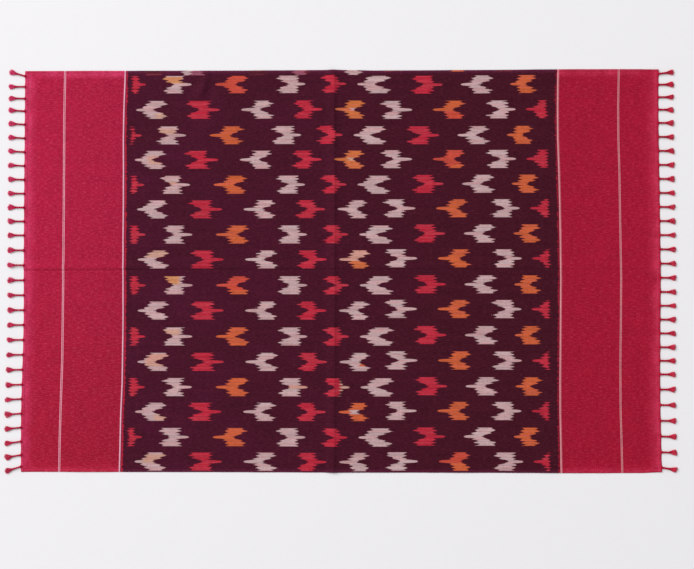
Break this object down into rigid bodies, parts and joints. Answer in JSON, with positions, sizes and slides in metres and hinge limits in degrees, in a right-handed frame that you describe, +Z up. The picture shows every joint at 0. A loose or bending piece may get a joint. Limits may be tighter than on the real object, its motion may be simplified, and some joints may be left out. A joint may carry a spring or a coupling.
{
  "type": "dupatta",
  "caption": "Handloom ikat dupatta laid out flat: maroon field with chevron motifs, crimson end panels with fine cream stripes, knotted tassels along both ends, and two fold lines.",
  "frame": {"origin": "centre of the whole dupatta on the surface that it lies on", "axes": "+X along the cloth's length towards the right tasselled end, +Y across its width towards the back edge, +Z up from the surface"},
  "size_m": [1.8748, 1.1315, 0.0077],
  "materials": {
    "maroon_ikat_cotton": "matt handloom cotton with feathered cream, red and orange ikat motifs",
    "crimson_cotton": "handloom cotton with a faint sheen and fine cream cross stripes",
    "crimson_yarn": "twisted and cut cotton yarn"
  },
  "bodies": {
    "root": {"field": "maroon_ikat_cotton", "end_panel_left": "crimson_cotton", "end_panel_right": "crimson_cotton", "tassels_left": "crimson_yarn", "tassels_right": "crimson_yarn"}
  },
  "joints": []
}
